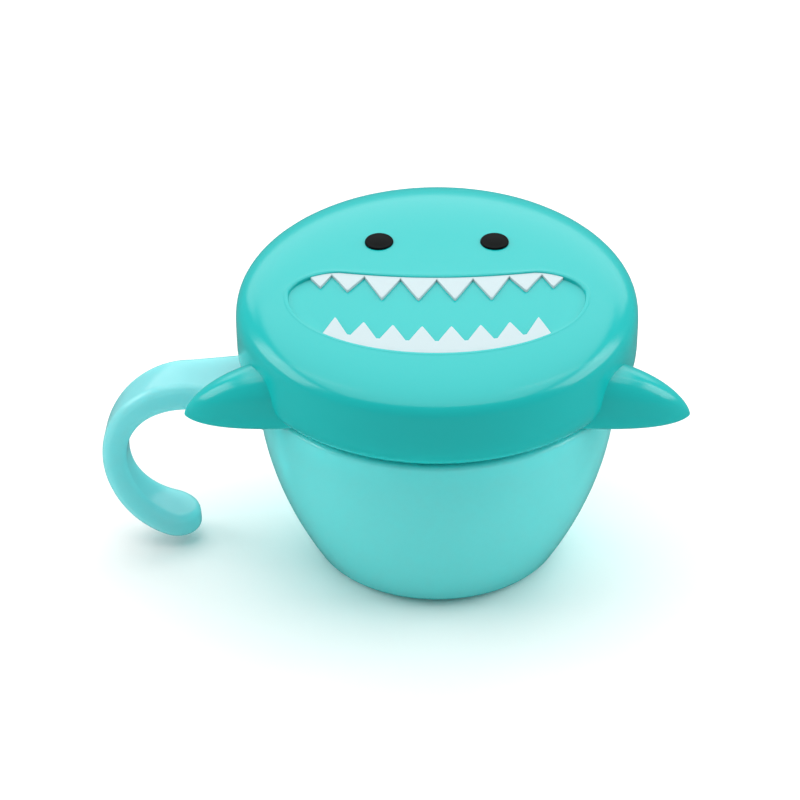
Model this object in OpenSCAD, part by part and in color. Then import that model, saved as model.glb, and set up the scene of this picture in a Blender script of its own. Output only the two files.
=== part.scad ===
// Toddler snack container: a see-through cup with an open hook handle, a soft finger trap
// that sits in the cup's mouth, and a lid shaped as a shark's head with two side fins.
// Millimetres. The origin is the centre of the cup's flat foot, +Z is up, the face looks
// towards -Y and the handle stands out along -X.

/* [Cup] */
// Radius of the flat foot
foot_r = 27.7; // [24:0.1:30]
// Radius of the rounded corner between foot and wall
foot_corner_r = 5.4; // [4:0.1:7]
// Height of the shoulder that the lid's skirt rests on
cup_h = 49.7; // [47:0.1:60]
// Lean of the wall just above the foot, millimetres outwards for each one up
wall_lean = 0.57; // [0.5:0.01:0.62]
// Wall and floor thickness
cup_wall = 1.8; // [1.4:0.1:2.4]
// Width of the shoulder ledge that shows outside the skirt
ledge_w = 1.6; // [1:0.1:2.4]
// Rounding of the shoulder's outer edge
shoulder_round = 0.9; // [0.4:0.1:0.9]
// Height of the neck above the shoulder
neck_h = 9; // [8:0.1:11]
// Wall of the neck
neck_wall = 1.6; // [1.2:0.1:2]

/* [Handle] */
// Radius of the hook's middle line
hook_r = 20; // [18:0.1:22]
// Distance of the bend's middle from the cup's axis
hook_reach = 62.9; // [58:0.1:66]
// Width of the strap where it leaves the cup
strap_root_w = 23.4; // [18:0.1:25]
// Width where the bend starts
strap_w = 15.3; // [12:0.1:17]
// Width in the middle of the bend
strap_side_w = 10.6; // [9:0.1:14]
// Width at the free end
strap_end_w = 15; // [12:0.1:16]
// Thickness where it leaves the cup
strap_root_t = 12.4; // [9:0.1:14]
// Thickness where the bend starts
strap_t = 7.7; // [6.5:0.1:9]
// Thickness in the middle of the bend
strap_side_t = 6.3; // [5.5:0.1:8]
// Thickness at the free end
strap_end_t = 6.9; // [6:0.1:8]
// Radius of the strap's long edges
strap_round = 2.3; // [1.5:0.1:2.6]
// Drop of the strap's top under the lid's lower edge
strap_drop = 0.3; // [0.2:0.1:1]

/* [Lid] */
// Radius of the lid at its widest line
lid_r = 50; // [49:0.1:52]
// Outer radius of the skirt's lower edge
skirt_r = 43.9; // [43:0.1:45]
// Height from the skirt's lower edge to the widest line
skirt_h = 12.7; // [11:0.1:14]
// How suddenly the skirt tucks in towards its lower edge
tuck_power = 3.7; // [3:0.1:4.5]
// Height of the head above the widest line, at the middle
dome_h = 15.3; // [14:0.1:18]
// Extra height of the slightly crowned top
crown_h = 0.6; // [0:0.1:1.5]
// Growth of the head's height from the middle to the back, as a share of it
wedge = 0.4; // [0.2:0.05:0.5]
// Squareness of the head's rounded edge, seen across
side_power = 3.63; // [3:0.01:4.5]
// Squareness of the head's rounded edge, seen upwards
top_power = 5.06; // [4:0.01:6]
// Wall of the shell
shell_wall = 1.8; // [1.6:0.1:2.2]

/* [Face] */
// Radius of an eye
eye_r = 3.6; // [3:0.1:4.5]
// Distance of each eye from the middle line
eye_x = 14.45; // [11:0.05:18]
// Place of the eyes behind the middle of the head
eye_y = 12.4; // [9:0.1:16]
// How far an eye stands out of the face
eye_proud = 0.7; // [0.4:0.1:1.2]
// How deep an eye is set into the face
eye_set = 0.8; // [0.5:0.1:1]
// Half width of the mouth
mouth_half_w = 36.3; // [34:0.1:38]
// Place of the mouth's corners in front of the middle of the head
mouth_corner_y = 7.8; // [7:0.1:9]
// Depth of the lower lip below the mouth's corners
lower_lip_h = 24.7; // [23:0.1:26]
// Height of the upper lip's bend above the mouth's corners
upper_corner_h = 7.6; // [6.8:0.1:8]
// Width of the rounding at each upper corner
upper_corner_w = 12; // [9:0.5:14]
// Sag of the upper lip at its middle
lip_sag = 2.7; // [2:0.1:3.2]
// Depth of the mouth's recess
mouth_depth = 1; // [0.8:0.1:1.1]
// Thickness of the teeth
tooth_t = 0.7; // [0.5:0.1:0.7]
// Width of the upper teeth, from the middle outwards
upper_tooth_w = [8.9, 8.9, 8.1, 5.2];
// Length of the upper teeth, from the middle outwards
upper_tooth_l = [8.2, 8.5, 6.4, 4.4];
// Pitch of the lower teeth
lower_tooth_w = 7; // [6:0.1:7.2]
// Length of the lower teeth
lower_tooth_l = 5.6; // [4:0.1:6]
// Height of the band that joins the lower teeth, at its middle
lower_band_h = 4.4; // [3.5:0.1:5]
// How much lower the band is at the row's ends
lower_band_fall = 2.1; // [1:0.1:2.5]
// Height of the strip that joins the upper teeth
upper_band_h = 0.4; // [0.3:0.1:1]

/* [Fins] */
// How far a fin's tip stands out past the head's widest line
fin_len = 11.9; // [9:0.1:14]
// How far inside the head's widest line a fin starts
fin_root_in = 17; // [16:0.1:18]
// Distance of a fin's tip in front of the middle of the head
fin_y = 21.5; // [18:0.1:23]
// Height of a fin's tip above the skirt's lower edge
fin_tip_up = 0.2; // [0:0.1:2]
// Rise of a fin's crest from its tip to its root
fin_rise = 15.7; // [12:0.1:17]
// Depth of a fin's belly below its tip
fin_belly = 1.9; // [1:0.1:2.2]
// Depth of a fin's root in front of its tip
fin_front = 9.1; // [8:0.1:11]
// Depth of a fin's root behind its tip
fin_back = 7.6; // [7:0.1:10]
// Squareness of a fin's section
fin_power = 2.4; // [2:0.1:3]

/* [Finger trap] */
// Wall of the trap's ring
ring_wall = 1.6; // [1.4:0.1:2]
// Depth of the ring below the cup's rim
ring_depth = 7; // [6:0.1:9]
// Thickness of the ring's flange
flange_t = 1.6; // [1.2:0.1:2]
// Width of the lip that carries the soft disc
ring_lip_w = 3.4; // [3:0.1:5]
// Thickness of the soft disc and its flaps
membrane_t = 1.2; // [1:0.1:1.4]
// Distance of the flaps' hinge lines from the axis
hinge_r = 25.6; // [23:0.1:28]
// Number of flaps
flap_count = 8; // [8]
// Radius of the hole between the flaps' tips
tip_hole_r = 3.5; // [3:0.1:5]
// Width of the slit between two flaps
slit_w = 1; // [0.8:0.1:1.4]

/* [Fits] */
// Clearance between parts that slide over each other
slide_clear = 0.3; // [0.25:0.01:0.4]
// Gap between parts that rest on each other
seat_gap = 0.3; // [0.2:0.01:0.4]
// Gap round an eye in its pocket
eye_clear = 0.1; // [0.05:0.01:0.2]

/* [Hidden] */
$fn = 96;

// Heights, from the foot upwards
skirt_z = cup_h + seat_gap;
rim_z = cup_h + neck_h;
equator_z = skirt_z + skirt_h;
flange_z = rim_z + seat_gap;

// Radii of what nests, from the skirt inwards
shoulder_r = skirt_r + ledge_w;
seat_r = skirt_r - shell_wall;
neck_r = seat_r - slide_clear;
neck_in_r = neck_r - neck_wall;
ring_r = neck_in_r - slide_clear;
ring_in_r = ring_r - ring_wall;

// The seat's cylinder is cut this much higher than the neck, and the cavity starts this much inside it
seat_over = 1.3;
// A cut goes this much past the surface it opens
cut_over = 2;
cavity_start = 1.6;

// The face's plane touches the top of the head at its middle and is tilted towards the front
face_z = equator_z + dome_h + crown_h;
face_tilt = atan(wedge * (dome_h + crown_h) / lid_r);

// Grid of the head's surface
rounds = 60;
side_rings = 8;
top_rings = 12;

cup_colour = "#6fd3d1";
shell_colour = "#4fd6d3";
tooth_colour = "#e3eeee";
eye_colour = "#1f2626";
trap_colour = "#bfeeee";

// ---- Cup ----

lean_angle = atan(wall_lean);
corner_steps = 6;
wall_steps = 10;

// Where the rounded corner of the profile, set in by "inset", runs into the wall
function corner_end_r(inset) = foot_r + (foot_corner_r - inset) * cos(lean_angle);
function corner_end_z(inset) = foot_corner_r - (foot_corner_r - inset) * sin(lean_angle);
function wall_rise(inset) = cup_h - corner_end_z(inset);
function wall_bend(inset) =
    (shoulder_r - inset - corner_end_r(inset) - wall_lean * wall_rise(inset)) / pow(wall_rise(inset), 2);
function wall_r(z, inset) =
    let (up = z - corner_end_z(inset))
    corner_end_r(inset) + wall_lean * up + wall_bend(inset) * up * up;

// Half outline of the cup's body up to height top, set in by "inset"
function body_outline(inset, top) = concat(
    [[0, inset]],
    [for (i = [0 : corner_steps])
        let (a = -90 + i * (90 - lean_angle) / corner_steps)
        [foot_r + (foot_corner_r - inset) * cos(a), foot_corner_r + (foot_corner_r - inset) * sin(a)]],
    [for (i = [1 : wall_steps])
        let (z = corner_end_z(inset) + i * (top - corner_end_z(inset)) / wall_steps)
        [wall_r(z, inset), z]]);

// The body with its rounded shoulder, without the neck
module cup_body() {
    edge_z = cup_h - shoulder_round;
    edge_r = wall_r(edge_z, 0);
    rotate_extrude()
        polygon(concat(
            body_outline(0, edge_z),
            [for (a = [30 : 30 : 90])
                [edge_r - shoulder_round * (1 - cos(a)), edge_z + shoulder_round * sin(a)]],
            [[0, cup_h]]));
}

module cup() {
    shoulder_z = cup_h - cup_wall;
    neck_slope = wall_r(shoulder_z, cup_wall) - neck_in_r;
    color(cup_colour)
    difference() {
        union() {
            cup_body();
            translate([0, 0, cup_h - cup_wall])
                cylinder(h = neck_h + cup_wall, r = neck_r);
        }
        // The inside: the body's outline set in by the wall, a sloping shoulder and the neck's bore
        rotate_extrude()
            polygon(concat(
                body_outline(cup_wall, shoulder_z - neck_slope),
                [[neck_in_r, shoulder_z], [0, shoulder_z]]));
        translate([0, 0, shoulder_z - neck_slope])
            cylinder(h = neck_h + cup_wall + neck_slope + 1, r = neck_in_r);
    }
}

// ---- Hook handle ----

hook_z = skirt_z - strap_drop - strap_t / 2 - hook_r;
// The bend turns this many degrees further than half a circle, to the tip of the round end
hook_over = 3.6;
round_end_at = 180 + hook_over - strap_end_w / 2 / hook_r * 180 / PI;
// The straight run starts this far inside the neck's bore, and is cut off by the cup's wall
strap_start = neck_in_r - 0.2;
run_steps = 3;
bend_steps = 18;
end_steps = 5;

// From a to b at share k of the way, level at both ends
function ease(a, b, k) = a + (b - a) * (1 - cos(180 * k)) / 2;

// The strap's section of a width and thickness: points across it and out from its middle line
function strap_section(w, t) = [for (corner = [[1, 1, 0], [-1, 1, 90], [-1, -1, 180], [1, -1, 270]])
    for (a = [0 : 30 : 90])
        [corner[0] * (w / 2 - strap_round) + strap_round * cos(corner[2] + a),
            corner[1] * (t / 2 - strap_round) + strap_round * sin(corner[2] + a)]];

// A ring of the straight run, at share k from the cup to the bend, its top level
function run_ring(k) =
    let (t = strap_root_t + (strap_t - strap_root_t) * k, w = strap_root_w + (strap_w - strap_root_w) * k)
    [for (p = strap_section(w, t))
        [-strap_start - (hook_reach - strap_start) * k, p[0], hook_z + hook_r + (strap_t - t) / 2 + p[1]]];

// A size of the bend at angle a, from its values at the top, the side and the end
function along_bend(a, top, side, end) =
    a < 90 ? ease(top, side, a / 90) : ease(side, end, min(1, a / 90 - 1));

// A ring of the bend at angle a from its top, its width narrowed to share "wide"
function bend_ring(a, wide) =
    let (
        t = along_bend(a, strap_t, strap_side_t, strap_end_t),
        w = along_bend(a, strap_w, strap_side_w, strap_end_w))
    [for (p = strap_section(w, t))
        [-hook_reach - (hook_r + p[1]) * sin(a), p[0] * wide, hook_z + (hook_r + p[1]) * cos(a)]];

module handle() {
    rings = concat(
        [for (i = [0 : run_steps - 1]) run_ring(i / run_steps)],
        [for (i = [0 : bend_steps]) bend_ring(round_end_at * i / bend_steps, 1)],
        // The round end, seen from above
        [for (i = [1 : end_steps])
            let (a = 85 * i / end_steps)
            bend_ring(round_end_at + (180 + hook_over - round_end_at) * sin(a), cos(a))]);
    sides = len(rings[0]);
    count = len(rings);
    walls = [for (j = [0 : count - 2]) for (i = [0 : sides - 1])
        let (k = (i + 1) % sides, near = j * sides, far = (j + 1) * sides)
        each [[near + i, far + i, far + k], [near + i, far + k, near + k]]];
    start = [[for (i = [0 : sides - 1]) i]];
    end = [[for (i = [sides - 1 : -1 : 0]) (count - 1) * sides + i]];
    color(cup_colour)
    difference() {
        polyhedron([for (ring = rings) for (p = ring) p], concat(walls, start, end), convexity = 4);
        cup_body();
    }
}

// ---- Head of the lid ----

// One ring of the head's surface below its widest line, at share "down" of the skirt's height
function side_ring(inset, low_r, down) =
    [for (i = [0 : rounds - 1])
        let (r = lid_r - inset - (lid_r - inset - low_r) * pow(down, tuck_power), a = i * 360 / rounds)
        [r * cos(a), r * sin(a), equator_z - skirt_h * down]];

// Height of the head's surface over its widest line, at angle "a" from that line to the top
function head_h(a, inset) =
    (dome_h - inset) * pow(sin(a), 2 / top_power) + crown_h * (1 - pow(cos(a), 4 / side_power));
function top_ring(inset, a) =
    [for (i = [0 : rounds - 1])
        let (r = (lid_r - inset) * pow(cos(a), 2 / side_power), t = i * 360 / rounds)
        [r * cos(t), r * sin(t), equator_z + head_h(a, inset) * (1 + wedge * r / lid_r * sin(t))]];

// The head as a closed body, its surface set in by "inset", with a flat underside of radius low_r
module head(inset, low_r) {
    low_rings = [for (i = [0 : side_rings]) side_ring(inset, low_r, cos(90 * i / side_rings))];
    high_rings = [for (i = [1 : top_rings - 1])
        let (t = i / top_rings)
        top_ring(inset, 90 * t * t * (3 - 2 * t))];
    rings = concat(low_rings, high_rings);
    count = len(rings);
    apex = [0, 0, equator_z + head_h(90, inset)];
    points = concat([for (ring = rings) for (p = ring) p], [apex]);
    walls = [for (j = [0 : count - 2]) for (i = [0 : rounds - 1])
        let (k = (i + 1) % rounds, low = j * rounds, high = (j + 1) * rounds)
        each [[low + i, high + i, high + k], [low + i, high + k, low + k]]];
    top = [for (i = [0 : rounds - 1])
        [(count - 1) * rounds + i, count * rounds, (count - 1) * rounds + (i + 1) % rounds]];
    floor = [[for (i = [0 : rounds - 1]) i]];
    polyhedron(points, concat(walls, top, floor), convexity = 4);
}

// Puts flat shapes, drawn in the face's plane, on the head
module on_face() {
    translate([0, 0, face_z])
        rotate([face_tilt, 0, 0])
            children();
}

// ---- Mouth and teeth, drawn in the face's plane ----

lip_flat_x = mouth_half_w - upper_corner_w;
lip_end_y = -mouth_corner_y + upper_corner_h;
function upper_lip_y(x) = x < lip_flat_x
    ? lip_end_y - lip_sag * (1 - pow(x / lip_flat_x, 2))
    : -mouth_corner_y + upper_corner_h * sqrt(1 - pow((x - lip_flat_x) / upper_corner_w, 2));
function lower_lip_y(x) = -mouth_corner_y - lower_lip_h * sqrt(1 - pow(x / mouth_half_w, 2));

lip_steps = 8;
module mouth_outline() {
    polygon(concat(
        [for (a = [180 : 10 : 360])
            [mouth_half_w * cos(a), -mouth_corner_y + lower_lip_h * sin(a)]],
        [for (a = [15 : 15 : 90])
            [lip_flat_x + upper_corner_w * cos(a), -mouth_corner_y + upper_corner_h * sin(a)]],
        [for (i = [1 : lip_steps - 1])
            let (x = lip_flat_x * (1 - 2 * i / lip_steps))
            [x, upper_lip_y(x)]],
        [for (a = [90 : -15 : 15])
            [-lip_flat_x - upper_corner_w * cos(a), -mouth_corner_y + upper_corner_h * sin(a)]]));
}

// Distance from the middle line to the outer edge of upper tooth i, counted from the middle
function upper_edge_x(i) = i < 0 ? 0 : upper_edge_x(i - 1) + upper_tooth_w[i];
upper_last = len(upper_tooth_w) - 1;
upper_end_x = upper_edge_x(upper_last);

// The upper teeth hang from the upper lip, joined by a narrow strip along it
module upper_teeth_outline() {
    intersection() {
        mouth_outline();
        union() {
            for (side = [-1, 1])
                for (i = [0 : upper_last])
                    let (inner = upper_edge_x(i - 1), outer = upper_edge_x(i), mid = (inner + outer) / 2)
                    polygon([
                        [side * inner, lip_end_y],
                        [side * inner, upper_lip_y(inner) - upper_band_h],
                        [side * mid, upper_lip_y(mid) - upper_band_h - upper_tooth_l[i]],
                        [side * outer, upper_lip_y(outer) - (i < upper_last ? upper_band_h : 0)],
                        [side * outer, lip_end_y]]);
        }
    }
}

lower_half = 4;
lower_end_share = 0.4;
lower_end_x = (lower_half - 0.5 + lower_end_share) * lower_tooth_w;
lower_valley = 0.4;
// The band gets lower towards the middle of the row's outer teeth
function band_top_y(x) = lower_lip_y(x) + lower_band_h
    - lower_band_fall * pow(x / (lower_half - 0.5) / lower_tooth_w, 2);

// The lower teeth stand on a band along the lower lip, and the valleys between them are blunt
module lower_teeth_outline() {
    peaks = [for (i = [-lower_half : lower_half - 1])
        let (
            mid = (i + 0.5) * lower_tooth_w,
            left = mid - lower_tooth_w / 2,
            right = mid + lower_tooth_w / 2)
        each [
            if (i > -lower_half) [left + lower_valley, band_top_y(left)],
            [mid, band_top_y(mid) + lower_tooth_l],
            if (i < lower_half - 1) [right - lower_valley, band_top_y(right)]]];
    // The row's outer teeth run down to the lip itself
    end_y = lower_lip_y(lower_end_x);
    intersection() {
        mouth_outline();
        polygon(concat(
            [[-lower_end_x, -mouth_corner_y - lower_lip_h - cut_over], [-lower_end_x, end_y]],
            peaks,
            [[lower_end_x, end_y], [lower_end_x, -mouth_corner_y - lower_lip_h - cut_over]]));
    }
}

// A thin slab that lies on the mouth's floor, as thick as the teeth, cut to the outline in children
module inlay() {
    difference() {
        intersection() {
            on_face()
                translate([0, 0, -inlay_reach])
                    linear_extrude(2 * inlay_reach)
                        children();
            head(mouth_depth - tooth_t, skirt_r);
        }
        head(mouth_depth, skirt_r);
    }
}

// More than the face's surface falls away from its plane within the mouth
inlay_reach = 6;

module upper_teeth() {
    color(tooth_colour)
    inlay()
        upper_teeth_outline();
}

module lower_teeth() {
    color(tooth_colour)
    inlay()
        lower_teeth_outline();
}

// ---- Eyes ----

// Depth of the face's surface below its plane at the eyes
eye_fall = 0.2;

module eye(side) {
    color(eye_colour)
    on_face()
        translate([side * eye_x, eye_y, -eye_fall - eye_set])
            rotate_extrude()
                polygon(concat(
                    [[0, 0], [eye_r, 0], [eye_r, eye_set]],
                    [for (a = [15 : 15 : 90])
                        [eye_r - eye_proud * (1 - cos(a)), eye_set + eye_proud * sin(a)]],
                    [[0, eye_set + eye_proud]]));
}

module left_eye() { eye(-1); }
module right_eye() { eye(1); }

// ---- Lid shell ----

module lid_shell() {
    color(shell_colour)
    difference() {
        head(0, skirt_r);
        head(shell_wall, seat_r - cavity_start);
        // The seat that slides over the cup's neck
        translate([0, 0, skirt_z - cut_over / 2])
            cylinder(h = neck_h + seat_over, r = seat_r);
        // The mouth's recess
        difference() {
            on_face()
                translate([0, 0, -inlay_reach])
                    linear_extrude(2 * inlay_reach)
                        mouth_outline();
            head(mouth_depth, skirt_r);
        }
        // The eyes' pockets
        for (side = [-1, 1])
            on_face()
                translate([side * eye_x, eye_y, -eye_fall - eye_set])
                    cylinder(h = eye_set + cut_over, r = eye_r + eye_clear);
    }
}

// ---- Fins ----

fin_stations = 12;
fin_sides = 24;

// How much of a fin's root size is left at share w of its length, full at the root and none at the tip
function fin_taper(w, fullness) = pow(1 - pow(w, fullness), 0.66);

// A coordinate of the section's outline, from -1 to 1
function fin_round(v) = sign(v) * pow(abs(v), 2 / fin_power);

// The section of a fin at share w of its length, as a ring of points around it
function fin_ring(w) =
    let (
        x = lid_r - fin_root_in + (fin_len + fin_root_in) * w,
        tip_z = skirt_z + fin_tip_up,
        top = tip_z + fin_rise * fin_taper(w, 2.1),
        low = tip_z - fin_belly * fin_taper(w, 4.5),
        front = -fin_y - fin_front * fin_taper(w, 2.6),
        back = -fin_y + fin_back * fin_taper(w, 0.9))
    [for (i = [0 : fin_sides - 1])
        let (a = i * 360 / fin_sides)
        [x,
            (front + back) / 2 + (back - front) / 2 * fin_round(cos(a)),
            (top + low) / 2 + (top - low) / 2 * fin_round(sin(a))]];

// A fin from inside the head to its rounded tip
module fin_body() {
    // The stations come closer together towards the rounded tip
    rings = [for (j = [0 : fin_stations - 1]) fin_ring(sin(90 * j / fin_stations))];
    tip = [lid_r + fin_len, -fin_y, skirt_z + fin_tip_up];
    points = concat([for (ring = rings) for (p = ring) p], [tip]);
    walls = [for (j = [0 : fin_stations - 2]) for (i = [0 : fin_sides - 1])
        let (k = (i + 1) % fin_sides, root = j * fin_sides, next = (j + 1) * fin_sides)
        each [[root + i, next + k, next + i], [root + i, root + k, next + k]]];
    end = [for (i = [0 : fin_sides - 1])
        [(fin_stations - 1) * fin_sides + i, (fin_stations - 1) * fin_sides + (i + 1) % fin_sides,
            fin_stations * fin_sides]];
    start = [[for (i = [fin_sides - 1 : -1 : 0]) i]];
    polyhedron(points, concat(walls, end, start), convexity = 2);
}

module fin(side) {
    color(shell_colour)
    difference() {
        mirror([side < 0 ? 1 : 0, 0, 0])
            fin_body();
        head(0, skirt_r);
        // Nothing of a fin reaches in under the skirt
        translate([0, 0, skirt_z - 2 * fin_belly])
            cylinder(h = 2 * fin_belly, r = shoulder_r + seat_gap);
    }
}

module left_fin() { fin(-1); }
module right_fin() { fin(1); }

// ---- Finger trap ----

lip_top_z = flange_z - 1.4;
lip_t = 1.6;

module trap_ring() {
    color(trap_colour)
    rotate_extrude()
        polygon([
            [ring_in_r, rim_z - ring_depth],
            [ring_r, rim_z - ring_depth],
            [ring_r, flange_z],
            [neck_r - 0.3, flange_z],
            [neck_r - 0.3, flange_z + flange_t],
            [ring_in_r, flange_z + flange_t],
            [ring_in_r, lip_top_z],
            [ring_in_r - ring_lip_w, lip_top_z],
            [ring_in_r - ring_lip_w, lip_top_z - lip_t],
            [ring_in_r, lip_top_z - lip_t]]);
}

// Gap between the hinge line and the soft disc, so that a flap's root can turn
root_gap = 0.7;
flap_step = 360 / flap_count;

module trap_membrane() {
    color(trap_colour)
    translate([0, 0, lip_top_z])
        difference() {
            cylinder(h = membrane_t, r = ring_in_r - slide_clear);
            translate([0, 0, -cut_over / 2])
                linear_extrude(membrane_t + cut_over)
                    rotate([0, 0, flap_step / 2])
                        circle(r = (hinge_r + root_gap) / cos(flap_step / 2), $fn = 8);
        }
}

// Flap i points from its hinge line to the axis, flap 1 along +X and the rest counter-clockwise
module flap(i) {
    half_slope = tan(flap_step / 2);
    color(trap_colour)
    translate([0, 0, lip_top_z])
        linear_extrude(membrane_t)
            rotate([0, 0, (i - 1) * flap_step])
                polygon([
                    [tip_hole_r, tip_hole_r * half_slope - slit_w / 2],
                    [tip_hole_r, -tip_hole_r * half_slope + slit_w / 2],
                    [hinge_r, -hinge_r * half_slope + slit_w / 2],
                    [hinge_r, hinge_r * half_slope - slit_w / 2]]);
}

cup();
handle();
trap_ring();
trap_membrane();
flap(1);  // flap_1
flap(2);  // flap_2
flap(3);  // flap_3
flap(4);  // flap_4
flap(5);  // flap_5
flap(6);  // flap_6
flap(7);  // flap_7
flap(8);  // flap_8
lid_shell();
left_fin();
right_fin();
left_eye();
right_eye();
upper_teeth();
lower_teeth();
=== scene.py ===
import math

import bmesh
import bpy
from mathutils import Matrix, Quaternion, Vector


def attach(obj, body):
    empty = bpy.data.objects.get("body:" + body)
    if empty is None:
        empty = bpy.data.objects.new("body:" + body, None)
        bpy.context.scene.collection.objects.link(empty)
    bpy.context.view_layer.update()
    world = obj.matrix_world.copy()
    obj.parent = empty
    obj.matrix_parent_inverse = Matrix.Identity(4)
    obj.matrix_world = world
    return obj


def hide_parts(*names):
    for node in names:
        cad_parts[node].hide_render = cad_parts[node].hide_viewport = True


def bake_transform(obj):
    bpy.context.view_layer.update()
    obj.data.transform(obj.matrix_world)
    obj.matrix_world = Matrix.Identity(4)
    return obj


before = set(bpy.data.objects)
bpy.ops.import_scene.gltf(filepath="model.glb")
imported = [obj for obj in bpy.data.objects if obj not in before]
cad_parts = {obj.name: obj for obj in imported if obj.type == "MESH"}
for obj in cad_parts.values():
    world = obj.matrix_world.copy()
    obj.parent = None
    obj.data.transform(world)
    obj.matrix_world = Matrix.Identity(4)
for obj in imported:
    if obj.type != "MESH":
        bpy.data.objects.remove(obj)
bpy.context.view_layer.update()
scene = bpy.context.scene
scene.view_settings.view_transform = "Standard"

# All shapes are drawn in millimetres, in the CAD's frame, and scaled to metres as they are made.
MM = 0.001

# ---------------------------------------------------------------------------
# Camera: a long lens from the front, looking down on the lid.

VIEW_FROM = (0, -0.5100, 0.3485)
VIEW_AT = (-0.0095, 0.0070, 0.0370)
# The object stands off the picture's middle, so a slight roll keeps it upright
VIEW_ROLL = -0.0095

camera_data = bpy.data.cameras.new("photo_camera")
camera_data.sensor_width = 36
camera_data.lens = 105.2
camera = bpy.data.objects.new("photo_camera", camera_data)
camera.location = VIEW_FROM
view_turn = (Vector(VIEW_AT) - Vector(VIEW_FROM)).to_track_quat("-Z", "Y")
camera.rotation_euler = (view_turn @ Quaternion((0, 0, 1), VIEW_ROLL)).to_euler()
scene.collection.objects.link(camera)
scene.camera = camera

# ---------------------------------------------------------------------------
# Floor and light: a pale, flat card under a large softbox overhead, whose reflection lies on the
# lid's brow, the fins and the handle, with others behind and to the sides and a little even light.


def linear(colour):
    """An sRGB hex colour as the linear values that a shader takes."""
    parts = [int(colour[i:i + 2], 16) / 255 for i in (1, 3, 5)]
    return [p / 12.92 if p <= 0.04045 else ((p + 0.055) / 1.055) ** 2.4 for p in parts] + [1]


def add_node(tree, kind, inputs=None, **settings):
    """Adds a node; each input is a plain value or the output socket that feeds it."""
    node = tree.nodes.new(kind)
    for name, value in settings.items():
        setattr(node, name, value)
    for name, value in (inputs or {}).items():
        if isinstance(value, bpy.types.NodeSocket):
            tree.links.new(value, node.inputs[name])
        else:
            node.inputs[name].default_value = value
    return node


def finish_of(name, colour, other, grain_mm, bump_mm, **sockets):
    """A Principled material whose colour drifts between two shades, with a fine moulded grain.

    The grain of a moulded skin is finer than a pixel, so it is drawn about a millimetre wide.
    """
    drift_mm = 25
    material = bpy.data.materials.new(name)
    material.use_nodes = True
    tree = material.node_tree
    shader = tree.nodes["Principled BSDF"]
    place = add_node(tree, "ShaderNodeTexCoord").outputs["Object"]
    drift = add_node(tree, "ShaderNodeTexNoise",
                     {"Vector": place, "Scale": 1 / (drift_mm * MM), "Detail": 2})
    mix = add_node(tree, "ShaderNodeMix", {"Factor": drift.outputs["Fac"]}, data_type="RGBA")
    mix.inputs["A"].default_value = linear(colour)
    mix.inputs["B"].default_value = linear(other)
    grain = add_node(tree, "ShaderNodeTexNoise",
                     {"Vector": place, "Scale": 1 / (grain_mm * MM), "Detail": 3})
    bump = add_node(tree, "ShaderNodeBump",
                    {"Height": grain.outputs["Fac"], "Strength": 0.25, "Distance": bump_mm * MM})
    tree.links.new(mix.outputs["Result"], shader.inputs["Base Color"])
    tree.links.new(bump.outputs["Normal"], shader.inputs["Normal"])
    for socket, value in sockets.items():
        shader.inputs[socket.replace("_", " ")].default_value = value
    return material


def softbox(name, place, aim, width, height, power):
    """A rectangular area light at a place, turned towards a point."""
    data = bpy.data.lights.new(name, "AREA")
    data.shape = "RECTANGLE"
    data.size, data.size_y = width, height
    data.energy = power
    lamp = bpy.data.objects.new(name, data)
    lamp.location = place
    lamp.rotation_euler = (Vector(aim) - Vector(place)).to_track_quat("-Z", "Y").to_euler()
    scene.collection.objects.link(lamp)


# Places and sizes of the lights are in metres
MIDDLE = (0, 0, 0.05)
OVERHEAD_Y, OVERHEAD_Z, STRIP_Z = 0.55, 1.6, 1.58
softbox("overhead_box", (0, OVERHEAD_Y, OVERHEAD_Z), (0, OVERHEAD_Y, 0), 2.5, 2.5, 31)
for side, hand in ((-1, "left"), (1, "right")):
    softbox(hand + "_box", (side * 1.6, 0.1, 0.85), MIDDLE, 1.3, 1.0, 12)
softbox("back_box", (0, 2.0, 1.15), MIDDLE, 3.6, 0.9, 13)
# Bright strips along the overhead box's edges, as in a light tent
softbox("front_strip", (0, -0.7, STRIP_Z), MIDDLE, 2.4, 0.04, 1.0)
for side, hand in ((-1, "left"), (1, "right")):
    softbox(hand + "_strip", (side * 1.25, 0.3, STRIP_Z), MIDDLE, 0.05, 1.6, 1.2)

world = bpy.data.worlds.new("studio")
world.use_nodes = True
sky = world.node_tree.nodes["Background"]
sky.inputs["Color"].default_value = linear("#ffffff")
sky.inputs["Strength"].default_value = 0.3
scene.world = world

# Half the floor's side, in metres: its edge stays out of sight from the front
FLOOR_HALF = 6
floor_bm = bmesh.new()
bmesh.ops.create_grid(floor_bm, x_segments=1, y_segments=1, size=FLOOR_HALF)
floor_mesh = bpy.data.meshes.new("floor")
floor_bm.to_mesh(floor_mesh)
floor_bm.free()
# Matt white card, even and without shine
card = finish_of("white_card", "#fbf9f7", "#fcfaf9", 2, 0.01, Roughness=0.7)
# Painted reflection: glossy rays see the card as a darker grey than the camera does, so the plastics
# mirror a darker floor than the one in view
card_shader = card.node_tree.nodes["Principled BSDF"]
mirrored = add_node(card.node_tree, "ShaderNodeLightPath").outputs["Is Glossy Ray"]
card_painted_reflection = add_node(card.node_tree, "ShaderNodeMix", {"Factor": mirrored}, data_type="RGBA")
card_painted_reflection.inputs["B"].default_value = linear("#5a6462")
card.node_tree.links.new(card_shader.inputs["Base Color"].links[0].from_socket, card_painted_reflection.inputs["A"])
card.node_tree.links.new(card_painted_reflection.outputs["Result"], card_shader.inputs["Base Color"])
floor_mesh.materials.append(card)
floor = bpy.data.objects.new("floor", floor_mesh)
scene.collection.objects.link(floor)

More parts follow.
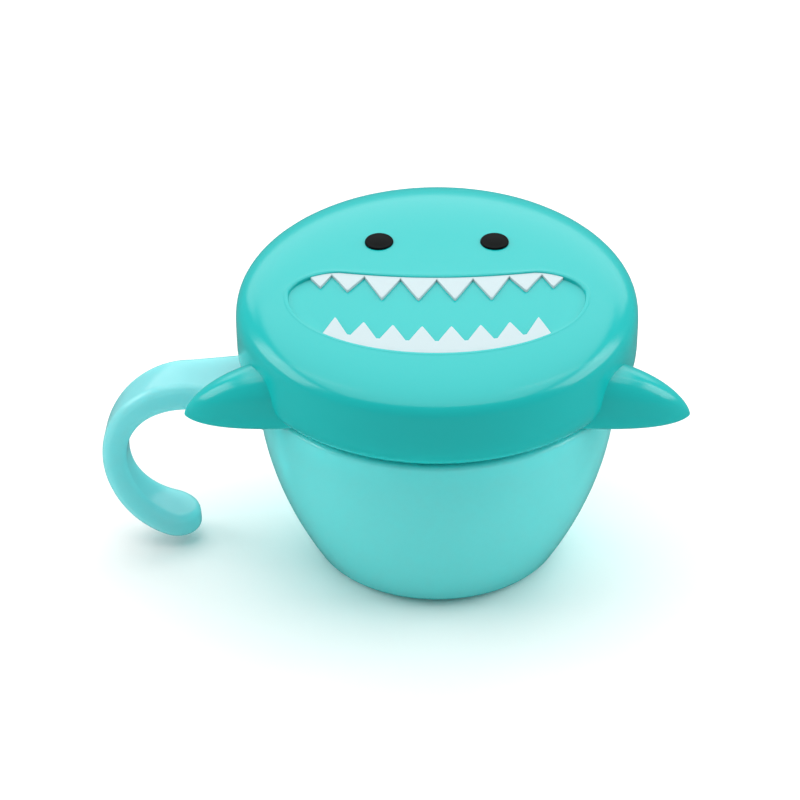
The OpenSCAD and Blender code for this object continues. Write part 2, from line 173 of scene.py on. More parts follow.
# ---------------------------------------------------------------------------
# Cup: a translucent polypropylene bowl, moulded in one shot. Its wall curves up from a flat foot
# to a narrow shoulder, and a thinner neck stands on the shoulder for the lid to slide over.


def arc(cx, cz, r, start, end, steps=6):
    """Points of an arc around (cx, cz), from one angle to another in degrees."""
    turns = [math.radians(start + (end - start) * i / steps) for i in range(steps + 1)]
    return [(cx + r * math.cos(t), cz + r * math.sin(t)) for t in turns]


def in_metres(x, y, z):
    """A point in millimetres as a place in the scene."""
    return Vector((x, y, z)) * MM


def lofted(rings, to_place):
    """Joins rings of as many points each with quads; to_place turns a ring's point into a vertex."""
    bm = bmesh.new()
    loops = [[bm.verts.new(to_place(*p)) for p in ring] for ring in rings]
    for low, high in zip(loops, loops[1:]):
        for i in range(len(low)):
            k = (i + 1) % len(low)
            bm.faces.new((low[i], low[k], high[k], high[i]))
    return bm, loops


def capped(bm, loop, centre):
    """Closes a loop with a fan around a middle point."""
    middle = bm.verts.new(in_metres(*centre))
    for i, vert in enumerate(loop):
        bm.faces.new((vert, loop[(i + 1) % len(loop)], middle))


# Points nearer to each other than this are one point
MERGE = 0.002 * MM


def turned(outline, steps=160):
    """A body turned around the Z axis from a half outline, its points in the same order each run."""
    around = [2 * math.pi * i / steps for i in range(steps)]
    bm = lofted([[(r * math.cos(a), r * math.sin(a), z) for a in around] for r, z in outline],
                in_metres)[0]
    bmesh.ops.remove_doubles(bm, verts=bm.verts, dist=MERGE)
    return bm


def made(name, bm, material, nodes, crease=35):
    """Turns a bmesh into a smooth-shaded piece that stands for the CAD nodes."""
    bmesh.ops.recalc_face_normals(bm, faces=bm.faces)
    mesh = bpy.data.meshes.new(name)
    bm.to_mesh(mesh)
    bm.free()
    mesh.shade_smooth()
    mesh.set_sharp_from_angle(angle=math.radians(crease))
    mesh.materials.append(material)
    piece = bpy.data.objects.new(name, mesh)
    scene.collection.objects.link(piece)
    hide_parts(*nodes)
    return piece


CUP_H, SHOULDER_R, CUP_WALL = 49.7, 45.5, 1.8
FOOT_R, FOOT_CORNER, LEAN = 27.7, 5.4, 0.57
# The foot's middle is raised inside a narrow standing ring, whose inner edge is rounded
FOOT_RAISED, FOOT_RING_R, FOOT_EDGE = 0.6, 25.2, 0.3
NECK_R, NECK_IN_R, RIM_Z = 41.8, 40.2, 58.7
SHOULDER_ROUND, NECK_FILLET, RIM_ROUND = 1.0, 0.4, 0.6
# Inside, the wall slopes in to the neck over this height, and ends in a turn this high over it
SLOPE_H, NECK_TURN, NECK_TURN_RISE = 2.8, 1.5, 0.9
# One ring of points divides the flat floor inside
FLOOR_RING_R = 14
LEAN_ANGLE = math.degrees(math.atan(LEAN))


def cup_wall(z, inset):
    """Radius of the cup's wall at a height, set in from the outside."""
    corner = FOOT_CORNER - inset
    start_r = FOOT_R + corner * math.cos(math.radians(LEAN_ANGLE))
    start_z = FOOT_CORNER - corner * math.sin(math.radians(LEAN_ANGLE))
    rise = CUP_H - start_z
    bend = (SHOULDER_R - inset - start_r - LEAN * rise) / rise ** 2
    return start_r + LEAN * (z - start_z) + bend * (z - start_z) ** 2


def wall_heights(inset, top, steps=14):
    """Even steps up the cup's wall, from its foot's corner to a height."""
    start = FOOT_CORNER - (FOOT_CORNER - inset) * math.sin(math.radians(LEAN_ANGLE))
    return [start + (top - start) * i / steps for i in range(1, steps + 1)]


edge_z = CUP_H - SHOULDER_ROUND
slope_z = CUP_H - CUP_WALL - SLOPE_H
cup_outline = (
    [(0, FOOT_RAISED), (FOOT_RING_R - 2 * FOOT_EDGE, FOOT_RAISED)]
    + arc(FOOT_RING_R - FOOT_EDGE, FOOT_EDGE, FOOT_EDGE, 90, 0, 3)
    + arc(FOOT_RING_R + FOOT_EDGE, FOOT_EDGE, FOOT_EDGE, 180, 270, 3)
    + arc(FOOT_R, FOOT_CORNER, FOOT_CORNER, -90, -LEAN_ANGLE, 12)
    + [(cup_wall(z, 0), z) for z in wall_heights(0, edge_z)]
    + arc(cup_wall(edge_z, 0) - SHOULDER_ROUND, edge_z, SHOULDER_ROUND, 15, 90, 5)
    + arc(NECK_R + NECK_FILLET, CUP_H + NECK_FILLET, NECK_FILLET, 270, 180, 3)
    + arc(NECK_R - RIM_ROUND, RIM_Z - RIM_ROUND, RIM_ROUND, 0, 90, 4)
    + arc(NECK_IN_R + RIM_ROUND, RIM_Z - RIM_ROUND, RIM_ROUND, 90, 180, 4)
    + arc(NECK_IN_R + NECK_TURN, CUP_H - CUP_WALL + NECK_TURN_RISE, NECK_TURN, 180, 225, 4)
    + [(cup_wall(z, CUP_WALL), z) for z in reversed(wall_heights(CUP_WALL, slope_z))]
    + arc(FOOT_R, FOOT_CORNER, FOOT_CORNER - CUP_WALL, -LEAN_ANGLE, -90, 10)
    + [(FLOOR_RING_R, CUP_WALL), (0, CUP_WALL)])

# Polypropylene with only a little pigment, from a polished mould: milky, so that light spreads in
# it, under a clear shine
cup_plastic = finish_of("translucent_polypropylene", "#76feff", "#72fbfc", 1.2, 0.02,
                        Roughness=0.14, IOR=1.49, Subsurface_Weight=1,
                        Subsurface_Scale=0.005, Subsurface_Radius=(0.7, 1, 1))
cup = made("snack_cup", turned(cup_outline), cup_plastic, ["cup"])
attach(cup, "root")

# ---------------------------------------------------------------------------
# Hook handle: a strap of the cup's plastic, moulded with it. It leaves the wall wide and deep under
# the lid's edge, turns down and back in an open hook, and stops in a round end.

HOOK_R, HOOK_REACH, HOOK_TOP = 20, 62.9, 49.7
ROOT_W, TOP_W, SIDE_W, END_W = 23.4, 15.3, 10.6, 15.0
ROOT_T, TOP_T, SIDE_T, END_T = 12.4, 7.7, 6.3, 6.9
STRAP_START, STRAP_ROUND, HOOK_OVER = 40, 2.3, math.radians(183.6)
# The root's end lies this far inside the cup's wall, and its middle at this height
ROOT_SINK, ROOT_MID_Z = 1.0, 44
ROOT_STEPS, BEND_STEPS = 16, 60
HOOK_Z = HOOK_TOP - TOP_T / 2 - HOOK_R
ROUND_END_AT = HOOK_OVER - END_W / 2 / HOOK_R


def strap_section(width, thick):
    """The strap's section, anticlockwise: (across, out from its middle line)."""
    u, v, r = width / 2 - STRAP_ROUND, thick / 2 - STRAP_ROUND, STRAP_ROUND
    return (arc(u, v, r, 0, 90) + [(0, thick / 2)] + arc(-u, v, r, 90, 180)
            + arc(-u, -v, r, 180, 270) + [(0, -thick / 2)] + arc(u, -v, r, 270, 360))


def blend(a, b, k):
    """Goes from a to b in an easy curve as k goes from 0 to 1."""
    return a + (b - a) * (1 - math.cos(math.pi * k)) / 2


def along_bend(turn, top, side, end):
    """A size of the bend at an angle, from its values at the top, the side and the end."""
    k = turn / (math.pi / 2)
    return blend(top, side, k) if k < 1 else blend(side, end, min(1, k - 1))


def on_bend(turn, across, out):
    """A point of the bend: its angle, then across the strap and out from its middle line."""
    r = HOOK_R + out
    return (-HOOK_REACH - r * math.sin(turn), across, HOOK_Z + r * math.cos(turn))


strap_rings = []
for i in range(ROOT_STEPS + 1):
    k = i / ROOT_STEPS
    x = STRAP_START + (HOOK_REACH - STRAP_START) * k
    thick = ROOT_T + (TOP_T - ROOT_T) * k
    ring = []
    for u, v in strap_section(ROOT_W + (TOP_W - ROOT_W) * k, thick):
        z = HOOK_TOP - thick / 2 + v
        wall = math.sqrt(cup_wall(min(z, edge_z), ROOT_SINK) ** 2 - u * u)
        ring.append((-max(x, wall), u, z))
    strap_rings.append(ring)
for i in range(1, BEND_STEPS + 1):
    turn = ROUND_END_AT * i / BEND_STEPS
    strap_rings.append([on_bend(turn, u, v) for u, v in strap_section(
        along_bend(turn, TOP_W, SIDE_W, END_W), along_bend(turn, TOP_T, SIDE_T, END_T))])
end_section = strap_section(along_bend(ROUND_END_AT, TOP_W, SIDE_W, END_W),
                            along_bend(ROUND_END_AT, TOP_T, SIDE_T, END_T))
# The round end: the last section swings about its middle until it closes
for a in range(9, 91, 9):
    t = math.radians(a)
    strap_rings.append([on_bend(ROUND_END_AT + abs(u) * math.sin(t) / HOOK_R, u * math.cos(t), v)
                        for u, v in end_section])


handle_bm, handle_loops = lofted(strap_rings, in_metres)
capped(handle_bm, handle_loops[0], (-cup_wall(ROOT_MID_Z, ROOT_SINK), 0, ROOT_MID_Z))
bmesh.ops.remove_doubles(handle_bm, verts=handle_bm.verts, dist=MERGE)
# The cup's plastic again, thick here so light spreads further in it; its base colour is painted darker
# than the cup's as shade, to dim the strap's brightly lit top
shaded_strap_plastic = finish_of("thick_polypropylene_painted_shade", "#80cdd1", "#7ccace", 1.2, 0.02,
                          Roughness=0.14, IOR=1.49, Subsurface_Weight=1,
                          Subsurface_Scale=0.015, Subsurface_Radius=(0.7, 1, 1))
handle = made("hook_handle", handle_bm, shaded_strap_plastic, ["handle"])
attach(handle, "root")

# ---------------------------------------------------------------------------
# Lid: an opaque polypropylene shell, moulded in one shot, that slides down over the cup's neck.
# Its rounded top slopes to the front, its skirt tucks in at the bottom, and the mouth is sunk in it.

SPOKES = 240
LID_R, EQUATOR_Z, SKIRT_R, SKIRT_H, TUCK = 50, 62.7, 43.9, 12.7, 3.7
DOME_H, CROWN_H, WEDGE, SIDE_POWER, TOP_POWER = 15.3, 0.6, 0.008, 3.63, 5.06
LID_WALL, SEAT_R = 1.8, 42.1
FACE_Z = EQUATOR_Z + DOME_H + CROWN_H
FACE_TILT = math.atan(WEDGE * (DOME_H + CROWN_H))
MOUTH_W, MOUTH_Y, LOWER_LIP, MOUTH_DEPTH = 36.3, -7.8, 24.7, 1.0
CORNER_W, CORNER_H, LIP_SAG = 12, 7.6, 2.7
LIP_FLAT = MOUTH_W - CORNER_W


def head_z(x, y, inset=0):
    """Height of the head's top over a place, its surface set in from the outside."""
    share = min(1, math.hypot(x, y) / (LID_R - inset))
    cos_a = share ** (SIDE_POWER / 2)
    sin_a = math.sqrt(max(0, 1 - cos_a * cos_a))
    h = (DOME_H - inset) * sin_a ** (2 / TOP_POWER) + CROWN_H * (1 - share * share)
    return EQUATOR_Z + h * (1 + WEDGE * y)


def head_r(z, inset=0, low_r=SKIRT_R):
    """Radius of the head's side at a height below its widest line."""
    down = max(0, min(1, (EQUATOR_Z - z) / SKIRT_H))
    return (LID_R - inset) - (LID_R - inset - low_r) * down ** TUCK


def on_face(x, y, drop=0):
    """The place on the head, or that far under its surface, of a point in the face's plane."""
    h = 0
    for _ in range(5):
        px, py = x, y * math.cos(FACE_TILT) - h * math.sin(FACE_TILT)
        h = (head_z(px, py) - FACE_Z - y * math.sin(FACE_TILT)) / math.cos(FACE_TILT)
    return Vector((px, py, head_z(px, py) - drop))


def upper_lip(x):
    """The mouth's upper edge in the face's plane: it sags in the middle and is rounded at the ends."""
    if abs(x) < LIP_FLAT:
        return MOUTH_Y + CORNER_H - LIP_SAG * (1 - (x / LIP_FLAT) ** 2)
    return MOUTH_Y + CORNER_H * math.sqrt(1 - ((abs(x) - LIP_FLAT) / CORNER_W) ** 2)


def lower_lip(x):
    """The mouth's lower edge in the face's plane, half an ellipse."""
    return MOUTH_Y - LOWER_LIP * math.sqrt(max(0, 1 - (x / MOUTH_W) ** 2))


def lip_arc(x, w, h, angles):
    """Points of an ellipse around (x, MOUTH_Y) in the face's plane."""
    turns = [math.radians(a) for a in angles]
    return [(x + w * math.cos(t), MOUTH_Y + h * math.sin(t)) for t in turns]


mouth_edge = (
    lip_arc(0, MOUTH_W, LOWER_LIP, range(180, 361, 3))
    + lip_arc(LIP_FLAT, CORNER_W, CORNER_H, range(6, 91, 6))
    + [(LIP_FLAT * k / 14, upper_lip(LIP_FLAT * k / 14)) for k in range(13, -14, -1)]
    + lip_arc(-LIP_FLAT, -CORNER_W, CORNER_H, range(90, 5, -6)))
MOUTH_MID = (0, -15)


def mouth_reach(angle):
    """Distance from the mouth's middle to its edge, at an angle in the face's plane."""
    dx, dy = math.cos(angle), math.sin(angle)
    best = 0
    around = [(x - MOUTH_MID[0], y - MOUTH_MID[1]) for x, y in mouth_edge]
    for (ax, ay), (bx, by) in zip(around, around[1:] + around[:1]):
        cross_a, cross_b = dx * ay - dy * ax, dx * by - dy * bx
        if cross_a * cross_b <= 0 and cross_a != cross_b:
            t = cross_a / (cross_a - cross_b)
            along = dx * (ax + t * (bx - ax)) + dy * (ay + t * (by - ay))
            best = max(best, along)
    return best


spokes = [2 * math.pi * i / SPOKES for i in range(SPOKES)]
reach = [mouth_reach(a) for a in spokes]
LIP_ROUND, BEAD_W, BEAD_H = 0.45, 0.9, 0.09
FLOOR_FILLET_W, FLOOR_FILLET_H = 0.3, 0.28


def mouth_ring(share, offset, drop):
    """A ring around the mouth: at a share of its reach and an offset from it, and sunk that far."""
    return [tuple(on_face(MOUTH_MID[0] + (r * share + offset) * math.cos(a),
                          MOUTH_MID[1] + (r * share + offset) * math.sin(a), drop))
            for a, r in zip(spokes, reach)]


BROW_R = 41
lid_rings = [mouth_ring(s, 0, MOUTH_DEPTH) for s in (0.2, 0.4, 0.6, 0.75, 0.88)]
lid_rings += [mouth_ring(1, -FLOOR_FILLET_W, MOUTH_DEPTH), mouth_ring(1, -0.1, MOUTH_DEPTH - 0.08),
              mouth_ring(1, 0, MOUTH_DEPTH - FLOOR_FILLET_H)]
for a in (0, 30, 60, 90):
    t = math.radians(a)
    lid_rings.append(mouth_ring(1, LIP_ROUND * (1 - math.cos(t)), LIP_ROUND * (1 - math.sin(t))))
# A low bead runs around the mouth and catches the light
lid_rings += [mouth_ring(1, LIP_ROUND + out, -BEAD_H * math.sin(math.pi * out / BEAD_W) ** 2)
              for out in (0.15, 0.3, 0.45, 0.6, 0.75, BEAD_W)]
# From the mouth to the brow, the rings turn from the mouth's outline into a circle
inner_ring = lid_rings[-1]
FACE_STEPS = 16
for i in range(1, FACE_STEPS + 1):
    t = i / FACE_STEPS
    ring = []
    for a, (x, y, z) in zip(spokes, inner_ring):
        px = x + (BROW_R * math.cos(a) - x) * t
        py = y + (BROW_R * math.sin(a) - y) * t
        ring.append((px, py, head_z(px, py)))
    lid_rings.append(ring)


def round_ring(r, z=None, inset=0):
    """A full circle at a height, or on the head's top."""
    return [(r * math.cos(a), r * math.sin(a),
             head_z(r * math.cos(a), r * math.sin(a), inset) if z is None else z) for a in spokes]


def skirt_ring(share, inset=0, low_r=SKIRT_R):
    """A full circle on the head's side, at a share of the way from its widest line to its edge."""
    z = EQUATOR_Z - SKIRT_H * share
    return round_ring(head_r(z, inset, low_r), z)


# Steps over the brow get closer where the surface turns down
BROW_STEPS, INSIDE_STEPS, STEP_POWER = 16, 13, 1.7
brow_angle = math.acos((BROW_R / LID_R) ** (SIDE_POWER / 2))
for i in range(1, BROW_STEPS + 1):
    angle = brow_angle * (1 - i / BROW_STEPS) ** STEP_POWER
    r = LID_R * math.cos(angle) ** (2 / SIDE_POWER)
    lid_rings.append(round_ring(r))
lid_rings += [skirt_ring(s) for s in (0.12, 0.25, 0.38, 0.5, 0.6, 0.7, 0.78, 0.85, 0.9, 0.94, 0.97)]
# The skirt's lower edge is eased on both sides, and inside it a short seat fits round the cup's neck
SKIRT_Z = EQUATOR_Z - SKIRT_H
lid_rings += [round_ring(SKIRT_R - 0.05, SKIRT_Z + 0.12), round_ring(SKIRT_R - 0.35, SKIRT_Z),
              round_ring(SEAT_R + 0.35, SKIRT_Z), round_ring(SEAT_R + 0.1, SKIRT_Z + 0.1),
              round_ring(SEAT_R, SKIRT_Z + 0.35), round_ring(SEAT_R, SKIRT_Z + 0.8)]
# The inner wall follows the outer one, and closes under the top
inner_low_r = SEAT_R - 1.6
lid_rings += [skirt_ring(s, LID_WALL, inner_low_r) for s in (0.9, 0.8, 0.65, 0.5, 0.3, 0.15)]
for i in range(INSIDE_STEPS):
    angle = math.pi / 2 * (i / INSIDE_STEPS) ** STEP_POWER
    r = (LID_R - LID_WALL) * math.cos(angle) ** (2 / SIDE_POWER)
    lid_rings.append(round_ring(r, inset=LID_WALL))

lid_bm, lid_loops = lofted(lid_rings, in_metres)
capped(lid_bm, lid_loops[0], on_face(*MOUTH_MID, MOUTH_DEPTH))
capped(lid_bm, lid_loops[-1], (0, 0, head_z(0, 0, LID_WALL)))
# Pigmented polypropylene from a polished mould: an even, full colour under a soft shine
lid_plastic = finish_of("opaque_polypropylene", "#0cb9b7", "#0ab7b5", 1.0, 0.02,
                        Roughness=0.2, IOR=1.49)
lid = made("shark_lid", lid_bm, lid_plastic, ["lid_shell"])
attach(lid, "lid")

# ---------------------------------------------------------------------------
# Fins: two solid rounded horns of the lid's plastic, moulded with the skirt, one on each side.
# Each springs from the skirt's front quarter and sweeps out and down to a blunt tip.

FIN_ROOT_X, FIN_TIP_X, FIN_Y, FIN_TIP_Z = 33, 61.9, 21.5, 50.2
FIN_RISE, FIN_BELLY, FIN_FRONT, FIN_BACK, FIN_POWER = 15.7, 1.9, 9.1, 7.6, 2.4
# How full each side of the fin stays on its way to the tip
TAPER_POWER, CREST_FULL, BELLY_FULL, FRONT_FULL, BACK_FULL = 0.66, 2.1, 4.5, 2.6, 0.9
FIN_SINK, FIN_CLEAR, FIN_ROOT_Z, FIN_STATIONS = 0.7, 0.4, 57, 40


def fin_ring(x, sides=64):
    """A fin's rounded section at a distance from the head's axis, its root kept in the lid's wall."""
    w = (x - FIN_ROOT_X) / (FIN_TIP_X - FIN_ROOT_X)

    def taper(fullness):
        return max(0, 1 - w ** fullness) ** TAPER_POWER

    top, low = FIN_TIP_Z + FIN_RISE * taper(CREST_FULL), FIN_TIP_Z - FIN_BELLY * taper(BELLY_FULL)
    front, back = -FIN_Y - FIN_FRONT * taper(FRONT_FULL), -FIN_Y + FIN_BACK * taper(BACK_FULL)
    ring = []
    for i in range(sides):
        a = 2 * math.pi * i / sides
        cy = math.copysign(abs(math.cos(a)) ** (2 / FIN_POWER), math.cos(a))
        cz = math.copysign(abs(math.sin(a)) ** (2 / FIN_POWER), math.sin(a))
        y = (front + back) / 2 + (back - front) / 2 * cy
        z = (top + low) / 2 + (top - low) / 2 * cz
        # Below the skirt, the root stays clear of the cup's shoulder
        wall_r = head_r(z) - FIN_SINK if z > SKIRT_Z + 0.1 else SHOULDER_R + FIN_CLEAR
        ring.append((max(x, math.sqrt(wall_r ** 2 - y * y)), y, z))
    return ring


stations = [FIN_ROOT_X + (FIN_TIP_X - FIN_ROOT_X) * math.sin(math.pi / 2 * j / FIN_STATIONS)
            for j in range(FIN_STATIONS)]
root_x = math.sqrt((head_r(FIN_ROOT_Z) - FIN_SINK) ** 2 - FIN_Y ** 2)
for side, name in ((-1, "left_fin"), (1, "right_fin")):
    fin_bm, fin_loops = lofted([fin_ring(x) for x in stations],
                               lambda x, y, z: Vector((side * x, y, z)) * MM)
    capped(fin_bm, fin_loops[-1], (side * FIN_TIP_X, -FIN_Y, FIN_TIP_Z))
    capped(fin_bm, fin_loops[0], (side * root_x, -FIN_Y, FIN_ROOT_Z))
    fin = made("shark_" + name, fin_bm, lid_plastic, [name])
    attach(fin, "lid")

# ---------------------------------------------------------------------------
# Eyes: two low black ABS buttons with a slight dome and rounded edges, set into the lid's top and
# turned to its slope. The CAD lid has round pockets for them; the lid's mesh here has none, and
# runs on underneath.

EYE_R, EYE_X, EYE_Y, EYE_PROUD, EYE_SET = 3.6, 14.45, 12.4, 0.68, 0.8
# The edge's rounding starts this high over the lid's surface
EYE_EDGE, EYE_EDGE_Z, EYE_DOME = 0.5, 0.1, 0.25
# Black ABS with a fine matt skin, which drinks the light: only a faint reflection is left on it
eye_plastic = finish_of("black_abs", "#060a0a", "#080c0c", 0.8, 0.005, Roughness=0.35, IOR=1.5,
                        Specular_IOR_Level=0.04)
eye_outline = ([(0, -EYE_SET), (EYE_R, -EYE_SET)]
               + arc(EYE_R - EYE_EDGE, EYE_EDGE_Z, EYE_EDGE, 0, 60, 4)
               + [(EYE_R * s, EYE_PROUD - EYE_DOME * s ** 2) for s in (0.78, 0.6, 0.4, 0.2)]
               + [(0, EYE_PROUD)])
face_normal = Vector((0, -math.sin(FACE_TILT), math.cos(FACE_TILT)))
onto_face = Vector((0, 0, 1)).rotation_difference(face_normal).to_matrix()
for side, name in ((-1, "left_eye"), (1, "right_eye")):
    eye_bm = turned(eye_outline, 64)
    bmesh.ops.rotate(eye_bm, verts=eye_bm.verts, cent=(0, 0, 0), matrix=onto_face)
    bmesh.ops.translate(eye_bm, verts=eye_bm.verts, vec=on_face(side * EYE_X, EYE_Y) * MM)
    eye = made("shark_" + name, eye_bm, eye_plastic, [name])
    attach(eye, "lid")

# ---------------------------------------------------------------------------
# Teeth: two white inlays of ABS on the mouth's floor. The upper row hangs from the lip in pointed
# teeth that get smaller to the ends, and the lower row stands up from a band along the lower lip.

TOOTH_T = 0.7
# The upper teeth's widths and lengths run from the middle out, and both rows are even on each side
UPPER_W, UPPER_L, UPPER_BAND = (8.9, 8.9, 8.1, 5.2), (8.2, 8.5, 6.4, 4.4), 0.4
LOWER_W, LOWER_L, LOWER_BAND, BAND_FALL, LOWER_HALF, LOWER_FLAT = 7, 5.6, 4.4, 2.1, 4, 0.4
TIP_ROUND, TOOTH_EASE = 0.12, 0.1
# The inlays run a little past their drawn outline: under the lips, and at the points
UNDER_LIP, PAST_TIP = 0.15, 0.05


def tooth(dx, half, length):
    """Length of a tooth at a distance from its middle line, its tip slightly rounded."""
    if dx >= half:
        return 0
    full = math.sqrt(half ** 2 + TIP_ROUND ** 2) - TIP_ROUND
    return length * (1 - (math.sqrt(dx * dx + TIP_ROUND ** 2) - TIP_ROUND) / full)


def inlay(columns):
    """A thin plate on the mouth's floor, from columns of (x, lower y, upper y), its top edge eased."""
    bm = bmesh.new()
    rows = 6
    grid = []
    for x, low, high in columns:
        grid.append([bm.verts.new(on_face(x, low + (high - low) * j / rows, MOUTH_DEPTH - TOOTH_T) * MM)
                     for j in range(rows + 1)])
    for left, right in zip(grid, grid[1:]):
        for j in range(rows):
            bm.faces.new((left[j], right[j], right[j + 1], left[j + 1]))
    top = list(bm.faces)
    sunk = bmesh.ops.extrude_face_region(bm, geom=top)["geom"]
    bmesh.ops.translate(bm, verts=[v for v in sunk if isinstance(v, bmesh.types.BMVert)],
                        vec=(0, 0, -TOOTH_T * MM))
    bm.normal_update()
    top_set = set(top)
    edge = [e for e in bm.edges if len([f for f in e.link_faces if f in top_set]) == 1]
    bmesh.ops.bevel(bm, geom=edge, offset=TOOTH_EASE * MM, segments=2, profile=0.5,
                    affect="EDGES", material=-1)
    return bm


def samples(stops, step=0.35):
    """The stops, with even places between each two."""
    out = [stops[0]]
    for a, b in zip(stops, stops[1:]):
        n = max(1, round((b - a) / step))
        out += [a + (b - a) * i / n for i in range(1, n + 1)]
    return out


upper_stops, upper_rows = [0], []
for width, length in zip(UPPER_W, UPPER_L):
    upper_rows.append((upper_stops[-1] + width / 2, width / 2, length))
    upper_stops.append(upper_stops[-1] + width)
UPPER_END = upper_stops[-1]
stops = sorted(upper_stops + [m for m, _, _ in upper_rows])
stops = [s for s in stops if s < UPPER_END] + [UPPER_END]
upper_columns = []
for x in sorted({round(s * x, 4) for x in samples(stops) for s in (-1, 1)}):
    mid, half, length = next(row for row in upper_rows if abs(x) <= row[0] + row[1] + 1e-6)
    lip = upper_lip(x)
    band = UPPER_BAND * min(1, (UPPER_END - abs(x)) / half)
    point = lip - band - tooth(abs(abs(x) - mid), half, length)
    upper_columns.append((x, point - PAST_TIP, lip + UNDER_LIP))

# The lower row ends a little short of its outer teeth's full width
END_SHARE = 0.4
LOWER_END = (LOWER_HALF - 0.5 + END_SHARE) * LOWER_W
lower_mids = [(i + 0.5) * LOWER_W for i in range(LOWER_HALF)]
stops = sorted([0, LOWER_END] + lower_mids
               + [m + s * (LOWER_W / 2 - LOWER_FLAT) for m in lower_mids for s in (-1, 1)])
stops = [s for s in stops if s <= LOWER_END]
lower_columns = []


def band_top(x):
    """Top of the lower band, which gets narrower to the row's ends."""
    return lower_lip(x) + LOWER_BAND - BAND_FALL * (x / lower_mids[-1]) ** 2


for x in sorted({round(s * x, 4) for x in samples(stops) for s in (-1, 1)}):
    mid = min(lower_mids, key=lambda m: abs(m - abs(x)))
    top = band_top(x) + tooth(abs(abs(x) - mid), LOWER_W / 2 - LOWER_FLAT, LOWER_L)
    past = (abs(x) - lower_mids[-1]) / (LOWER_END - lower_mids[-1])
    if past > 0:
        # The row's outer teeth run down to the lip itself
        tip = band_top(lower_mids[-1]) + LOWER_L
        top = tip + (lower_lip(LOWER_END) - tip) * past
    lower_columns.append((x, lower_lip(x) - UNDER_LIP, top + PAST_TIP))

# White ABS with a satin skin: a cool white that hardly shines
tooth_plastic = finish_of("white_abs", "#bed0d4", "#bbced2", 1.0, 0.01, Roughness=0.4, IOR=1.5)
for name, columns in (("upper_teeth", upper_columns), ("lower_teeth", lower_columns)):
    teeth = made("shark_" + name, inlay(columns), tooth_plastic, [name])
    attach(teeth, "lid")

# ---------------------------------------------------------------------------
# Finger trap: a polypropylene ring that hangs in the cup's neck by its flange, and a soft disc
# on the ring's ledge, slit into eight petals that bend down under a small hand.

RING_R, RING_IN_R, RING_LOW, RING_TOP = 39.9, 38.3, 51.7, 60.6
FLANGE_R, FLANGE_Z, LEDGE_R, LEDGE_T, DISC_Z, DISC_T = 41.5, 59.0, 34.9, 1.6, 57.6, 1.2
LOW_ROUND, SMALL_ROUND, OUTER_ROUND, INNER_ROUND = 0.4, 0.3, 0.7, 0.5
ring_outline = (
    arc(RING_IN_R + LOW_ROUND, RING_LOW + LOW_ROUND, LOW_ROUND, 180, 270, 3)
    + arc(RING_R - LOW_ROUND, RING_LOW + LOW_ROUND, LOW_ROUND, 270, 360, 3) + [(RING_R, FLANGE_Z)]
    + arc(FLANGE_R - SMALL_ROUND, FLANGE_Z + SMALL_ROUND, SMALL_ROUND, 270, 360, 3)
    + arc(FLANGE_R - OUTER_ROUND, RING_TOP - OUTER_ROUND, OUTER_ROUND, 0, 90, 5)
    + arc(RING_IN_R + INNER_ROUND, RING_TOP - INNER_ROUND, INNER_ROUND, 90, 180, 4)
    + [(RING_IN_R, DISC_Z)]
    + arc(LEDGE_R + SMALL_ROUND, DISC_Z - SMALL_ROUND, SMALL_ROUND, 90, 180, 3)
    + arc(LEDGE_R + SMALL_ROUND, DISC_Z - LEDGE_T + SMALL_ROUND, SMALL_ROUND, 180, 270, 3)
    + [(RING_IN_R, DISC_Z - LEDGE_T)])
# Thin polypropylene with a little pigment, paler and duller than the lid
trap_plastic = finish_of("ring_polypropylene", "#7fdcda", "#7ad8d7", 1.2, 0.02,
                         Roughness=0.32, IOR=1.49)
trap_ring_bm = turned(ring_outline + ring_outline[:1])
finger_ring = made("finger_ring", trap_ring_bm, trap_plastic, ["trap_ring"])
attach(finger_ring, "finger_trap")

PETALS, HINGE_R, HOLE_R, TIP_R, SLIT = 8, 25.6, 26.3, 3.5, 1.0
DISC_CLEAR, DISC_SIDES, EASE = 0.3, 192, 0.25
DISC_R = RING_IN_R - DISC_CLEAR
# Soft elastomer from a dull mould: matt, pale, and a little light passes into it
trap_soft = finish_of("soft_elastomer", "#dff3f2", "#d9f0ef", 1.5, 0.02,
                      Roughness=0.5, IOR=1.41, Subsurface_Weight=0.2, Subsurface_Scale=0.002)


def octagon_r(angle, apothem):
    """Radius of an octagon with a flat side towards +X, at an angle."""
    step = 2 * math.pi / PETALS
    return apothem / math.cos((angle + step / 2) % step - step / 2)


def disc_ring(share, z, eased=0.0):
    """A ring of the disc at a share of its width, both its edges drawn in where they are eased."""
    out = []
    for i in range(DISC_SIDES):
        a = 2 * math.pi * i / DISC_SIDES
        inner = octagon_r(a, HOLE_R) + eased
        r = inner + (DISC_R - eased - inner) * share
        out.append((r * math.cos(a), r * math.sin(a), z))
    return out


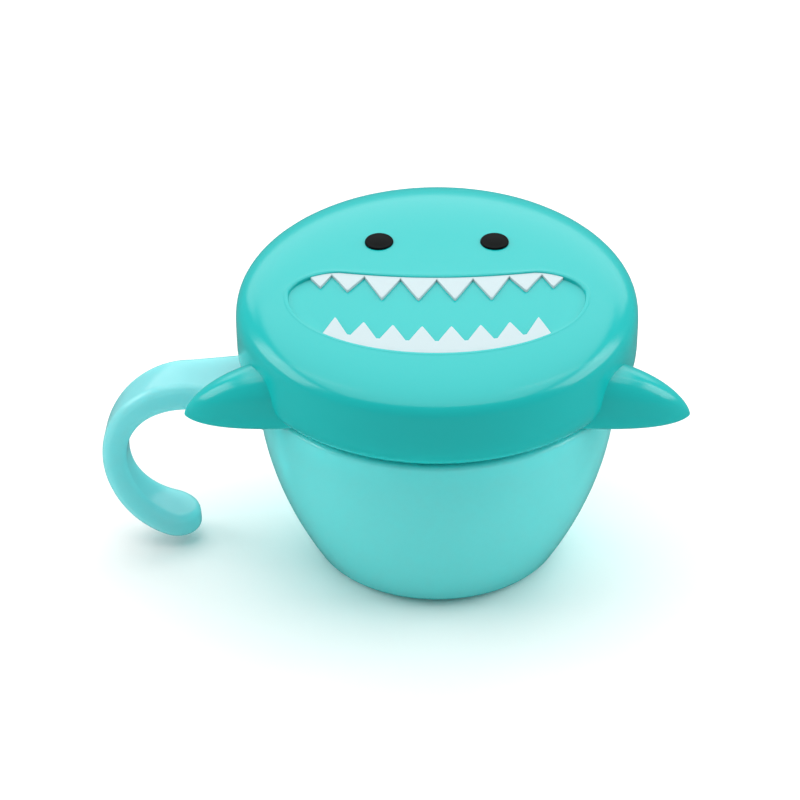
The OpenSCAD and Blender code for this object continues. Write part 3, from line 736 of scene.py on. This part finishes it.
top_z = DISC_Z + DISC_T
disc_rings = ([disc_ring(0, DISC_Z), disc_ring(0, top_z - EASE)]
              + [disc_ring(share, top_z, EASE) for share in (0, 0.33, 0.66, 1)]
              + [disc_ring(1, top_z - EASE)]
              + [disc_ring(share, DISC_Z) for share in (1, 0.66, 0.33, 0)])
disc_bm = lofted(disc_rings, in_metres)[0]
bmesh.ops.remove_doubles(disc_bm, verts=disc_bm.verts, dist=MERGE)
disc = made("soft_disc", disc_bm, trap_soft, ["trap_membrane"])
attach(disc, "finger_trap")

# Petals: one for each slit wedge of the soft disc, all flat in the disc; a petal's root meets the disc,
# and past the hinge line the slits between petals close up.
half_slope = math.tan(math.pi / PETALS)


def petal_half(r):
    """Half the width of a petal at a distance from the axis."""
    slit = SLIT / 2 if r < HINGE_R else SLIT / 2 * max(0, (HOLE_R - r) / (HOLE_R - HINGE_R))
    return r * half_slope - slit


# The tip's edge is eased over its last two rings
TIP_RUN, TIP_EASED, TIP_NARROW, PETAL_STEPS, BEND_END = 0.4, TIP_R + 0.1, 0.3, 24, 22.3
petal_r = ([HOLE_R - (HOLE_R - TIP_R - TIP_RUN) * i / PETAL_STEPS for i in range(PETAL_STEPS + 1)]
           + [TIP_EASED, TIP_R])
for index in range(PETALS):
    turn = 2 * math.pi * index / PETALS
    petal_rings = []
    for r in petal_r:
        at_tip = r < TIP_EASED
        ease = EASE * 2 if at_tip else EASE
        half = petal_half(r) - (TIP_NARROW if at_tip else 0)
        drop = EASE if at_tip else 0
        petal_rings.append(
            [(r, half * s, DISC_Z) for s in (-1, -0.5, 0, 0.5, 1)]
            + [(r, half, top_z - ease)]
            + [(r, (half - EASE) * s, top_z - drop) for s in (1, 0.5, 0, -0.5, -1)]
            + [(r, -half, top_z - ease)])
    petal_bm, petal_loops = lofted(petal_rings, lambda r, t, z: Vector(
        (r * math.cos(turn) - t * math.sin(turn), r * math.sin(turn) + t * math.cos(turn), z)) * MM)
    petal_bm.faces.new(reversed(petal_loops[0]))
    petal_bm.faces.new(petal_loops[-1])
    petal = made(f"petal_{index + 1}", petal_bm, trap_soft, [f"flap_{index + 1}"])
    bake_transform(petal)
